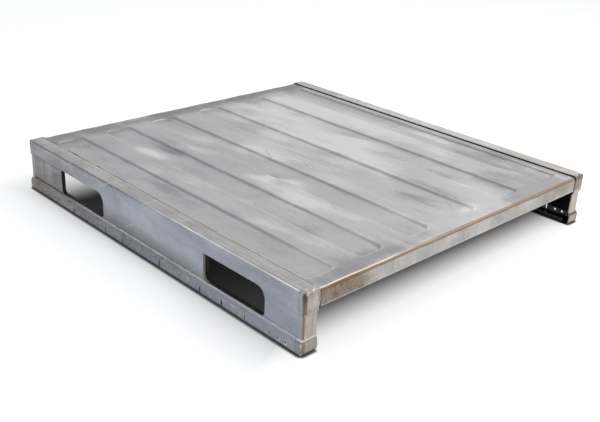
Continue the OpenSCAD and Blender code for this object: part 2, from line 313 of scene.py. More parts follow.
# %% Dents and waves of the deck
DENTS = (  # x, y, length, width, angle in degrees, depth (a low swelling where it is negative), in mm
    (-319, -306, 70, 42, 15, 1.6), (-290, -262, 46, 26, 40, -0.8), (67, -170, 62, 30, 28, 2.4),
    (104, -158, 34, 22, 20, -1.5), (-34, -470, 90, 34, 5, 1.6), (-62, 264, 80, 30, 35, 1.9),
    (-20, 300, 48, 22, 30, -1.1), (-329, 271, 44, 24, 10, 1.2), (131, -311, 36, 24, 60, 1.0),
    (253, -174, 110, 52, 0, 1.4), (366, -344, 90, 44, 8, 1.3), (-310, 25, 120, 60, 5, 1.5),
    (369, 81, 120, 60, 0, 1.6), (143, 229, 70, 46, 25, 1.2), (-140, -90, 80, 40, 12, -0.9),
    (-180, -390, 70, 40, -10, 1.1), (230, 420, 90, 40, 0, 1.0), (-430, 120, 60, 40, 0, 1.0),
    (470, -60, 50, 40, 15, 1.2), (20, 120, 70, 36, 22, -0.9), (-240, -180, 64, 30, 30, 1.2),
)
WAVES = ((0.0061, 0.0043, 0.4, 0.45), (0.0038, 0.0112, 2.1, 0.35), (0.0125, -0.0058, 4.4, 0.28))


def bell(x, y, centre_x, centre_y, length, width, angle):
    """exp(-(a^2 + b^2)), where a and b are the distances along and across a line at that angle, as shares
    of the length and width."""
    c, s = math.cos(math.radians(angle)), math.sin(math.radians(angle))
    a = ((x - centre_x) * c + (y - centre_y) * s) / length
    b = ((y - centre_y) * c - (x - centre_x) * s) / width
    return np.exp(-(a * a + b * b))


def bells(x, y, table):
    """The sum of a table's bell curves, each times the last number of its row."""
    return sum(height * bell(x, y, *shape) for *shape, height in table)


def dents(x, y):
    """The bell curves and a few sine waves, each height sin(2 pi (kx x + ky y) + start), as a depth in mm."""
    depth = bells(x, y, DENTS)
    for kx, ky, start, height in WAVES:
        depth = depth + height * np.sin(2 * math.pi * (kx * x + ky * y) + start)
    return depth

# %% [markdown]
# The grid's lines lie close together where the sheet bends and far apart where it is flat. That keeps the
# rims smooth with a fraction of the faces that an even grid would need.

# %% Lines of the grid along and across the deck
NEAR_RIM = np.array([   # how far inside a rim each grid line lies, in mm
    -5.0, -2.6, -1.9, -1.3, -0.5, 0.5, 1.3, 2.8, 4.4, 6.0, 6.9, 7.6, 8.4, 9.3, 12.0, 16.0, 23.0, 32.0,
])


def arc(centre, radius, start, stop, count):
    """Points on a circle: centre + radius (cos t, sin t), for t from start to stop in degrees."""
    t = np.radians(np.linspace(start, stop, count))
    return np.column_stack((centre[0] + radius * np.cos(t), centre[1] + radius * np.sin(t)))


def deck_lines_x():
    """Places along the deck: close together at both ends of the panels, and even between them."""
    first, last = PANEL_X
    ends = np.concatenate((first + NEAR_RIM, last - NEAR_RIM))
    plain = np.arange(first + 42, last - 40, 12.5)
    rear_margin = np.linspace(-HALF_L + FOLD_R, first - 9, 7)
    front_margin = np.linspace(last + 9, HALF_L - FOLD_R, 5)
    return np.unique(np.concatenate((ends, plain, rear_margin, front_margin)))


def deck_profile():
    """The section along X as rows of (x, z), from the end of the rear return to the end of the front one."""
    low = arc((-HALF_L + RETURN_R, FLANGE_Z + RETURN_R), RETURN_R, 270, 180, 6)
    start = np.array([[-HALF_L + RETURN_W + SHEET, FLANGE_Z], [-HALF_L + RETURN_W / 2 + SHEET, FLANGE_Z]])
    rise = np.column_stack((np.full(7, -HALF_L), np.linspace(FLANGE_Z + 8, DECK_Z - FOLD_R - 3, 7)))
    fold = arc((-HALF_L + FOLD_R, DECK_Z - FOLD_R), FOLD_R, 180, 97, 9)
    rear = np.vstack((start, low, rise, fold))
    flat = np.column_stack((deck_lines_x(), np.full(len(deck_lines_x()), DECK_Z)))
    return np.vstack((rear, flat, (rear * (-1, 1))[::-1]))


def deck_lines_y():
    """Rows of (y, drop): the place across the deck and how far the side lip has turned down there."""
    rims = [c + s * (PANEL_W / 2 - NEAR_RIM) for c in PANEL_Y for s in (-1, 1)]
    between = [np.array([0.5 * (a + b)]) for a, b in zip(PANEL_Y, PANEL_Y[1:])]
    inner = np.unique(np.round(np.concatenate((*rims, *between, np.array(PANEL_Y))), 3))
    inner = inner[np.abs(inner) < HALF_W - SIDE_R - 0.2]
    bend = arc((HALF_W - SIDE_R, -SIDE_R), SIDE_R, 90, 0, 6)
    edge = np.vstack((bend, [[HALF_W, -SIDE_R - 2], [HALF_W, -LIP]]))
    far = np.column_stack((edge[:, 0], -edge[:, 1]))
    near = (far * (-1, 1))[::-1]
    return np.vstack((near, np.column_stack((inner, np.zeros(len(inner)))), far))


print("grid:", len(deck_profile()), "by", len(deck_lines_y()))

# %% [markdown]
# Two grids, one sheet thickness apart, become one closed mesh. The quads of the lower grid are turned
# round, and a strip of quads joins the two along the border.

# %% From a grid to a closed sheet
def grid_normals(points):
    """The unit cross product of the grid's two directions at every point."""
    along, across = np.gradient(points, axis=0), np.gradient(points, axis=1)
    n = np.cross(along, across)
    return n / np.linalg.norm(n, axis=2, keepdims=True)


def sheet_faces(rows, columns):
    """Quads of the upper grid, of the lower grid and of the strip that joins their borders."""
    index = np.arange(rows * columns).reshape(rows, columns)
    quad = np.stack((index[:-1, :-1], index[1:, :-1], index[1:, 1:], index[:-1, 1:]), axis=-1).reshape(-1, 4)
    border = np.concatenate((index[:, 0], index[-1, 1:], index[-2::-1, -1], index[0, -2:0:-1]))
    following = np.roll(border, -1)
    below = rows * columns
    rim = np.column_stack((following, border, border + below, following + below))
    return np.vstack((quad, quad[:, ::-1] + below, rim))


def make_mesh(name, points, faces, material, attributes=None):
    """A mesh from whole arrays, in metres, shaded smooth, with one number per point in each attribute."""
    mesh = bpy.data.meshes.new(name)
    mesh.vertices.add(len(points))
    mesh.vertices.foreach_set("co", np.asarray(points, np.float32).ravel())
    mesh.loops.add(faces.size)
    mesh.loops.foreach_set("vertex_index", faces.astype(np.int32).ravel())
    mesh.polygons.add(len(faces))
    mesh.polygons.foreach_set("loop_start", np.arange(0, faces.size, faces.shape[1], dtype=np.int32))
    mesh.polygons.foreach_set("use_smooth", np.ones(len(faces), bool))
    mesh.update(calc_edges=True)
    for key, values in (attributes or {}).items():
        layer = mesh.attributes.new(key, "FLOAT", "POINT")
        layer.data.foreach_set("value", np.asarray(values, np.float32).ravel())
    mesh.materials.append(material)
    piece = bpy.data.objects.new(name, mesh)
    scene.collection.objects.link(piece)
    print(name, len(points), "points", len(faces), "faces")
    return piece

# %% [markdown]
# Steel on a used pallet has four layers that matter to the eye. Clean rolled steel is a satin grey with a
# faint cloudy mottle. Handling leaves soft dark smudges and light rubbed patches. Rims and folds carry
# painted highlights. Rust collects where nothing rubs, in corners and at the welds, and painted shade,
# near black, lies under lips, on undersides and on inner faces. Each finish below stacks these layers,
# with masks from the place on the object.

# %% Colours of the steel, as linear numbers
STEEL_LIGHT, STEEL_MID, STEEL_DARK = (0.74, 0.74, 0.745), (0.50, 0.50, 0.51), (0.30, 0.30, 0.31)
WALL_LIGHT, WALL_DARK = (0.435, 0.45, 0.52), (0.30, 0.315, 0.37)
BRIGHT, PEACH = (0.90, 0.89, 0.87), (0.86, 0.74, 0.65)
RUST = (0.27, 0.165, 0.10)
# painted shade: near black for undersides, inner faces, lips and gaps where no light reaches
SHADE_DARK, SHADE_BLACK = (0.045, 0.042, 0.04), (0.008, 0.008, 0.009)

STAINS = (  # soft dark smudges on the deck: x, y, length, width, angle, strength
    (-34, -493, 60, 22, 4, 0.8), (380, 34, 100, 30, 2, 0.75), (253, -174, 70, 26, 0, 0.6),
    (366, -344, 60, 26, 8, 0.6), (410, 30, 70, 70, 0, 0.35), (468, -176, 50, 40, 0, 0.35),
    (-310, 25, 110, 40, 6, 0.45), (143, 229, 60, 26, 20, 0.5), (-137, -88, 80, 30, 4, 0.35),
    (30, 20, 60, 24, 10, 0.45), (464, 310, 90, 44, 0, 0.65), (530, 390, 70, 70, 0, 0.6),
    (-480, -300, 70, 120, 0, 0.3), (40, -478, 420, 46, 0, 0.35), (-200, 350, 90, 26, 0, 0.3),
    (400, -452, 130, 50, 0, 0.25), (60, -250, 70, 20, 12, 0.35), (-60, 175, 90, 20, 8, 0.35),
    (220, 118, 80, 22, 3, 0.10), (330, 430, 130, 30, 0, 0.4), (430, 513, 260, 11, 0, 0.9),
    (-380, -130, 70, 34, 0, 0.10), (110, -330, 90, 22, 10, 0.35), (586, -330, 30, 260, 0, 0.55),
    (556, -312, 24, 40, 0, 0.5), (588, 330, 30, 190, 0, 0.75), (-570, 0, 34, 640, 0, 0.85),
    (500, 450, 150, 60, 0, 0.65), (420, 360, 60, 20, 0, 0.4), (-330, -180, 150, 20, 0, 0.30),
    (70, -180, 90, 20, 0, 0.35), (500, -120, 60, 36, 0, 0.45), (450, 130, 90, 36, 0, 0.35),
    (345, 243, 80, 28, 0, 0.75), (-470, -190, 50, 60, 0, 0.10), (380, 480, 90, 24, 0, 0.50),
    (535, -130, 60, 60, 0, 0.40), (540, -330, 60, 60, 0, 0.55), (431, -317, 40, 30, 0, -0.25),
    (-560, 470, 40, 50, 0, 0.5), (-575, 260, 30, 60, 0, 0.4),
)
# lighter patches: rubbed steel, and broad painted reflections, the largest in the middle of the deck
RUBS_AND_SHEEN = (  # light rubbed patches, with the same six numbers
    (-316, -325, 70, 26, 10, 0.75), (-169, -104, 80, 24, 10, 0.35), (60, -175, 34, 12, 25, 0.6),
    (-90, 120, 380, 230, 5, 0.50), (-410, 215, 110, 90, 0, 0.55), (190, -190, 150, 60, 0, 0.5),
    (190, -30, 130, 50, 0, 0.4), (430, -235, 70, 26, 0, 0.4), (40, 400, 160, 30, 0, 0.5),
    (-20, -370, 70, 26, 0, 0.4), (-50, -420, 70, 34, 0, 0.45), (-184, -356, 60, 30, 0, 0.45),
    (434, 200, 60, 40, 0, 0.6), (540, 100, 22, 26, 0, 0.95), (-150, -90, 60, 30, 0, 0.3),
    (-420, 380, 90, 60, 0, 0.5), (-10, 225, 70, 40, 10, 0.4), (130, 262, 60, 30, 0, 0.12),
    (-250, -200, 80, 26, 8, 0.2), (-200, 362, 160, 34, 0, 0.60), (90, 482, 80, 20, 0, 0.75),
    (-160, 440, 240, 34, 0, 0.30), (-480, 300, 60, 50, 0, 0.45), (-240, 130, 170, 80, 0, 0.32),
    (-60, -62, 100, 24, 0, 0.50), (-200, 60, 60, 20, 0, 0.35), (-130, -486, 80, 18, 0, 0.45),
    (250, -180, 60, 20, 0, 0.25), (-160, 370, 190, 90, 0, 0.45), (-330, 300, 140, 60, 0, 0.30),
    (142, 478, 60, 16, 0, 0.9), (200, 362, 90, 40, 0, 0.45), (-100, -70, 110, 44, 0, 0.45),
    (-240, 62, 60, 40, 0, 0.35), (30, 140, 120, 60, 0, 0.28), (240, 120, 60, 36, 0, 0.45),
    (-470, -252, 60, 46, 0, 0.35), (-320, -120, 60, 40, 0, 0.45), (240, -240, 70, 40, 0, 0.32),
    (-480, -300, 50, 60, 0, 0.25),
)
SCUFFS = (  # places full of scratches, with the same six numbers
    (76, -20, 40, 18, 25, 1.0), (40, -36, 26, 12, 20, 0.8), (143, 229, 50, 20, 10, 0.5),
    (-329, 271, 36, 14, 0, 0.7), (131, -311, 18, 8, 0, 0.5), (-90, 268, 60, 14, 12, 0.5),
    (-556, 268, 26, 44, 0, 0.9), (-566, 470, 30, 50, 0, 0.7),
)

# %% [markdown]
# The deck's finish reads seven numbers that the sheet's grid carries. Three come from tables of bell curves,
# as the dents do, so a dent and its smudge can share a place: how dark a smudge is, how light a patch is,
# where the table holds both rubbed steel and broad painted reflections, and how scuffed the steel is. Three
# come from the distance to a panel's rim, and all three are painted light: a painted highlight on the rim,
# painted shade on the wall below it, and a painted highlight line at its ends. The last is painted light and
# shade too: the slope of the dents across the deck, which makes one side of a dent lighter and the other
# darker.

# %% Finish of the deck
def flange_steel(m, broken):
    """The folded ends: a painted highlight along the top of the fold, which turns brown towards the far side,
    a brown shoulder, and a dusty flange. Returns the mask of the folded part."""
    reach = m.size(m.x)
    lean = m.size(m.nx)
    folded = m.span(reach, 0.5990, 0.6000)
    cloud = m.noise(13.0, 5.0, 0.62, (1, 0.7, 1.2), (0, 3, 0))
    fine = m.noise(75.0, 4.0, 0.7, (1, 0.8, 1), (2, 0, 5))
    runs = m.noise(1.0, 3.0, 0.6, (60, 150, 9), (0, 2, 1))
    near = m.times(m.span(m.y, -0.28, -0.44), m.span(m.y, -0.508, -0.470, 0.85, 1.0))
    far = m.span(m.y, 0.26, 0.46)
    dust = m.add(m.times(cloud, 0.8), m.times(runs, 0.28))
    dusty = m.ramp(dust, 0.38, 0.72, (0.45, 0.425, 0.40), (0.64, 0.615, 0.595))
    rusty = m.ramp(fine, 0.38, 0.60, (0.17, 0.115, 0.075), (0.36, 0.285, 0.215))
    spread = m.add(m.times(cloud, 0.9), m.add(m.times(near, 0.50), m.times(far, 0.10)))
    flange = m.mix(m.span(m.add(spread, m.times(fine, 0.25)), 0.78, 1.02, 0.0, 0.92), dusty, rusty)
    tan = m.ramp(cloud, 0.35, 0.65, (0.35, 0.30, 0.23), (0.49, 0.445, 0.375))
    flange = m.mix(m.times(far, 0.8), flange, tan)
    scab = m.span(m.add(m.times(fine, 0.7), m.times(near, 0.10)), 0.47, 0.53)
    flange = m.mix(m.times(scab, 0.45), flange, (0.15, 0.10, 0.07))
    m.lay(flange, m.span(lean, 0.55, 0.92), folded)
    shoulder = m.times(folded, m.span(lean, 0.30, 0.52), m.span(lean, 0.985, 0.90))
    brown = m.mix(near, (0.235, 0.152, 0.095), (0.16, 0.10, 0.06))
    rubbed = m.times(m.band(lean, 0.62, 0.05, 0.10), broken, m.less(1.0, near), 0.45)
    brown = m.mix(rubbed, brown, (0.46, 0.39, 0.32))
    m.lay(brown, shoulder, m.blend(broken, 0.75, 0.95))
    # painted highlight along the crest of the fold, peach on the near side and brown towards the far side
    line = m.times(m.span(reach, 0.5992, 0.6004), m.span(lean, 0.50, 0.34))
    crest = m.ramp(m.add(m.y, m.times(cloud, 0.3)), 0.05, -0.20, (0.27, 0.19, 0.13), PEACH)
    m.lay(crest, line, m.blend(broken, 0.75, 0.95))
    lowest = m.times(m.span(lean, 0.5, 0.9), m.band(m.z, 0.1125, 0.0010, 0.0022))
    m.lay((0.66, 0.64, 0.62), lowest, 0.55)
    return folded


def deck_finish():
    m = Finish("deck_steel")
    stain, rub_and_sheen, end_highlight = m.attribute("stain"), m.attribute("rub_and_sheen"), m.attribute("end_highlight")
    scuff, rim, hollow = m.attribute("scuff"), m.attribute("rim"), m.attribute("hollow")
    dent_light = m.attribute("dent_light")
    cloud = m.noise(4.5, 4.0, 0.55, (0.6, 1.5, 1), twist=0.6)
    patch = m.noise(11.0, 3.0, 0.5, (0.45, 1.5, 1), (2.0, 5.0, 0), turn=0.35)
    streak = m.noise(1.0, 3.0, 0.6, (2.2, 55, 0))
    brushed = m.noise(1.0, 2.0, 0.6, (7.0, 330, 0), (4, 0, 0))
    grain = m.noise(420.0, 2.0, 0.6)
    tone = m.add(m.times(cloud, 0.80), m.add(m.times(patch, 0.60), m.times(streak, 0.25)))
    worn = m.less(m.times(rub_and_sheen, 0.56), m.times(stain, 0.54))
    tone = m.add(m.less(tone, 0.22), worn)
    tone = m.add(tone, m.times(m.less(m.add(grain, brushed), 1.0), 0.14))
    tone = m.add(tone, m.times(m.less(m.noise(120.0, 3.0, 0.7, (0.5, 1, 1)), 0.5), 0.30))
    # painted light and shade: one side of each dent lighter, the other darker, from the dents' slope
    tone = m.add(tone, dent_light)
    m.colour = m.ramp(tone, 0.15, 0.60, STEEL_DARK, STEEL_MID)
    m.lay(STEEL_LIGHT, m.span(tone, 0.60, 1.15))
    # painted shade on the walls of each pressing, painted highlights on its rims and at its ends
    broken = m.span(m.noise(34.0, 3.0, 0.6, (0.5, 1, 1)), 0.36, 0.60)
    m.lay((0.19, 0.188, 0.195), hollow, 0.62, m.blend(broken, 0.7, 1.0))
    m.lay(BRIGHT, rim, 0.70, m.blend(broken, 0.35, 1.0))
    m.lay((1.0, 0.99, 0.98), end_highlight, m.blend(broken, 0.55, 1.0))
    # brown film on the rear margin and along the sides
    dirt = m.noise(18.0, 5.0, 0.62, (1, 0.6, 1), (0, 3, 0))
    rear = m.times(m.span(m.x, -0.545, -0.592), m.span(dirt, 0.28, 0.60), 0.85)
    to_rear = m.span(m.x, 0.25, -0.35, 0.35, 1.0)
    side = m.times(m.span(m.y, -0.505, -0.5215), m.span(dirt, 0.34, 0.60), to_rear)
    film = m.most(rear, m.times(side, 0.8))
    m.lay((0.265, 0.235, 0.205), film)
    spots = m.span(m.noise(95.0, 3.0, 0.7), 0.52, 0.58)
    chips = m.times(m.span(m.y, -0.512, -0.520), m.band(m.x, -0.38, 0.07, 0.05), spots)
    m.lay((0.075, 0.045, 0.028), chips, 0.9)
    # scratches, and scuffs where many of them lie together
    mark = m.scratches(0.006)
    m.lay((0.26, 0.26, 0.265), mark, 0.22)
    torn = m.times(scuff, m.span(m.noise(190.0, 4.0, 0.7, (0.4, 1, 0), turn=0.4), 0.49, 0.60))
    m.lay((0.13, 0.125, 0.115), torn, 0.60)
    specks = m.times(m.span(m.noise(240.0, 1.0), 0.72, 0.76), m.span(cloud, 0.5, 0.7))
    m.lay((0.14, 0.12, 0.10), specks, 0.5)
    folded = flange_steel(m, broken)
    # painted shade: the edge towards the runners and the underside are made near black
    edge = m.times(m.span(m.z, 0.1535, 0.1515), m.span(m.size(m.y), 0.5225, 0.5236))
    below = m.most(edge, m.span(m.nz, -0.3, -0.8))
    m.lay(SHADE_DARK, below, 0.92)
    rough = m.blend(m.span(tone, 0.2, 1.1), 0.50, 0.36)
    rough = m.blend(m.most(film, m.times(folded, 0.7), hollow), rough, 0.66)
    metal = m.blend(m.most(m.times(film, 0.8), m.times(folded, 0.6), below, hollow), 0.85, 0.25)
    height = m.add(m.times(grain, 0.25), m.less(m.times(patch, 0.9), m.times(mark, 0.25)))
    height = m.add(height, m.times(brushed, 0.15))
    return m.finish(metal, rough, height, 0.0006)


deck_material = deck_finish()

# %% [markdown]
# A pressing's rims and walls carry painted light. Its near rims and front ends have painted highlights, its
# far walls and rear walls painted shade, the far walls until close to the front end, and at the rear ends
# of the first four panels a short painted highlight lies on the near half.

# %% Marks along the rims of the panels
# painted light on each panel: highlights at its rear and front ends, and shade on its near wall
STREAKS = (0.60, 0.45, 0.80, 0.55, 0.0, 0.0)   # how bright the rear end of each panel is
FRONTS = (0.9, 1.0, 1.0, 1.0, 0.22, 0.12)      # how bright its front end is
NEAR_SHADE = (0.0, 0.0, 0.0, 0.35, 0.6, 0.9)    # how dull its near wall is


def smooth(value, low, high):
    """0 below low, 1 above high, 3 t^2 - 2 t^3 between."""
    t = np.clip((value - low) / (high - low), 0, 1)
    return t * t * (3 - 2 * t)


def hill(u, middle, width):
    """exp(-((u - middle) / width)^2)"""
    return np.exp(-((u - middle) / width) ** 2)


def rim_marks(x, y, u):
    """Three marks of painted light from the distance u inside the rim: a painted highlight on the rim,
    painted shade on the wall, and a painted highlight line at the ends. Each is made of hills of u, weighted
    by the place along the panel and across it."""
    first, last = PANEL_X
    rim = np.zeros(np.broadcast(x, y).shape)
    wall, end_highlight = rim.copy(), rim.copy()
    for centre, streak, front, near_shade in zip(PANEL_Y, STREAKS, FRONTS, NEAR_SHADE):
        share = (y - centre) / (PANEL_W / 2)
        here = smooth(1.25 - np.abs(share), 0, 0.15)
        far, to_front = smooth(share, 0.5, 0.9), smooth(x, 240, 480)
        at_front, at_rear = smooth(x, last - 15, last - 8), smooth(-x, -first - 15, -first - 9)
        shade = near_shade * smooth(-share, 0.5, 0.9) * smooth(440 - x, 0, 160) * (1 - at_front)
        rubbed = (1 - far * (1 - 0.85 * to_front)) * (1 - at_rear) * (1 - shade)
        rubbed = rubbed * (1 - (1 - 0.35 * front) * at_front)
        rim = np.maximum(rim, here * hill(u, -0.6, 1.5) * rubbed)
        rim = np.maximum(rim, here * hill(u, 9.6, 1.3) * 0.4 * far)
        dull = np.maximum(far * (1 - 0.75 * to_front), 0.9 * shade)
        wall = np.maximum(wall, here * hill(u, 3.8, 3.2) * dull)
        wall = np.maximum(wall, here * hill(u, 4.0, 6.0) * at_rear)
        wall = np.maximum(wall, here * hill(u, 4.0, 5.0) * at_front * (1 - front))
        line = hill(u, 2.0, 3.0) * at_front * smooth(1.05 - np.abs(share), 0, 0.2) * front
        near_half = smooth(0.1 - share, -0.35, 0.2) * smooth(share, -1.0, -0.7)
        short = hill(u, 1.2, 1.3) * at_rear * near_half
        end_highlight = np.maximum(end_highlight, here * np.maximum(line, streak * short))
    return rim, wall, end_highlight

# %% Build the deck sheet
# painted light and shade of the dents: how strongly their slope lightens one side and darkens the other
DENT_LIGHT_GAIN = 8.5      # how strongly the slope of a dent, in mm per mm, changes the tone
DEEPEST_DENT = 1.6     # in mm, less than the sheet is thick, so that no bar below shows through a dent
SAG = 0.6              # how far the whole deck hangs in, in mm


def build_deck():
    """P(s, w) = profile(s) + w in Y, pushed inwards along the profile's normal by lip + press + dents. The
    dents are D tanh(d / D), with D the deepest dent and d the bells, the waves and the sag together, or 0
    where that is negative. The flanges have a slow wave instead."""
    profile, across = deck_profile(), deck_lines_y()
    slope = np.gradient(profile, axis=0)
    outward = np.column_stack((-slope[:, 1], slope[:, 0]))
    outward /= np.linalg.norm(outward, axis=1, keepdims=True)
    x, y = profile[:, 0][:, None], across[:, 0][None, :]
    on_deck = np.clip((outward[:, 1] - 0.2) / 0.75, 0, 1)[:, None]
    lip = across[:, 1][None, :] * np.clip(on_deck, 0.25, 1)
    calm = np.clip((HALF_W - SIDE_R - np.abs(y)) / 12, 0, 1) * on_deck
    wave = 0.35 * np.sin(y / 61.0) + 0.3 * np.sin(y / 23.0 + x / 200 + 1.0) + 0.65
    hollow = DEEPEST_DENT * np.tanh(np.maximum(dents(x, y) + SAG, 0) / DEEPEST_DENT)
    push = lip + press(x, y) * on_deck + hollow * calm
    push = push + (1 - on_deck) * wave * np.clip((profile[:, 1] - FLANGE_Z - 3) / 12, 0, 1)[:, None]
    points = np.empty((len(profile), len(across), 3))
    points[..., 0] = x - outward[:, 0][:, None] * push
    points[..., 1] = y + 0 * x
    points[..., 2] = profile[:, 1][:, None] - outward[:, 1][:, None] * push
    n = grid_normals(points)
    both = np.concatenate((points.reshape(-1, 3), (points - SHEET * n).reshape(-1, 3)))
    rim, wall, end_highlight = rim_marks(x, y, inside_rim(x, y))
    marks = {
        "stain": bells(x, y, STAINS),
        "rub_and_sheen": bells(x, y, RUBS_AND_SHEEN),
        "scuff": bells(x, y, SCUFFS),
        "rim": rim * on_deck,
        "end_highlight": end_highlight * on_deck,
        "hollow": wall * on_deck,
        "dent_light": np.tanh(DENT_LIGHT_GAIN * (bells(x, y + 1, DENTS) - bells(x, y - 1, DENTS)) / 2 * calm),
    }
    marks = {k: np.tile(np.clip(v, -1, 1).ravel(), 2) for k, v in marks.items()}
    return make_mesh("deck_sheet", both * MM, sheet_faces(*points.shape[:2]), deck_material, marks)


deck_sheet = build_deck()
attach(deck_sheet, "root")
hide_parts("deck_tray")

# %% [markdown]
# The runners are folded from thicker plate. Their walls keep the blue grey of hot rolled steel, the strip
# on top is rubbed by every load and brown with dirt, and the outer fold carries a painted highlight. The CAD
# nodes already have the right form, so they only get a finish. A Bevel node rounds their sharp edges for
# the shading alone, which gives the thin highlights of a real cut edge. Painted shade blackens their inner
# faces and the lips of their windows.
#
# The side faces of the end shoes carry on the wall's steel, so that steel is a function of its own, which
# the skids and the shoes use too.

# %% Steel of the walls and of the strips
def wall_steel(m):
    """Blue grey rolled steel: returns its colour and the two noises that it is mixed from."""
    cloud = m.noise(5.0, 4.0, 0.55, (0.6, 1, 1.8), twist=0.8)
    patch = m.noise(22.0, 4.0, 0.6, (0.6, 1, 1.2), (1, 2, 3))
    grain = m.noise(380.0, 2.0, 0.6)
    rolled = m.noise(1.0, 3.0, 0.6, (5.0, 90, 90), (0, 0, 2))
    tone = m.add(m.times(cloud, 0.55), m.add(m.times(patch, 0.30), m.times(rolled, 0.15)))
    fleck = m.add(m.noise(130.0, 3.0, 0.7, (1, 1, 1), (2, 4, 6)), grain)
    tone = m.add(tone, m.times(m.less(fleck, 1.0), 0.24))
    colour = m.ramp(tone, 0.34, 0.66, WALL_DARK, WALL_LIGHT)
    worn = m.ramp(tone, 0.38, 0.62, (0.27, 0.265, 0.265), (0.41, 0.405, 0.41))
    return m.mix(m.span(m.x, 0.05, -0.45, 0.0, 0.75), colour, worn), cloud, patch


def strip_steel(m, side, patch):
    """The rubbed strip on top: combed along the runner, the far one cleaner and lighter."""
    comb = m.noise(1.0, 3.0, 0.65, (3.0, 130, 130))
    fine = m.noise(1.0, 2.0, 0.6, (16.0, 420, 420), (1, 0, 0))
    if side > 0:
        clean, dirty = (0.72, 0.705, 0.68), (0.50, 0.475, 0.44)
    else:
        clean, dirty = (0.54, 0.535, 0.53), (0.36, 0.35, 0.34)
    tone = m.add(m.times(comb, 0.45), m.add(m.times(patch, 0.40), m.times(fine, 0.25)))
    colour = m.ramp(tone, 0.42, 0.70, dirty, clean)
    spots = m.span(m.noise(14.0, 4.0, 0.6, shift=(5, 5, 0)), 0.42, 0.60)
    film = m.times(spots, m.span(m.x, 0.2, -0.45, 0.25, 0.7))
    colour = m.mix(film, colour, (0.34, 0.30, 0.265))
    if side > 0:
        ends = m.most(m.times(m.span(m.x, 0.24, 0.52), 0.85), m.times(m.span(m.x, -0.44, -0.56), 0.6))
        colour = m.mix(ends, colour, m.ramp(tone, 0.42, 0.66, (0.36, 0.32, 0.28), (0.52, 0.49, 0.46)))
    return colour

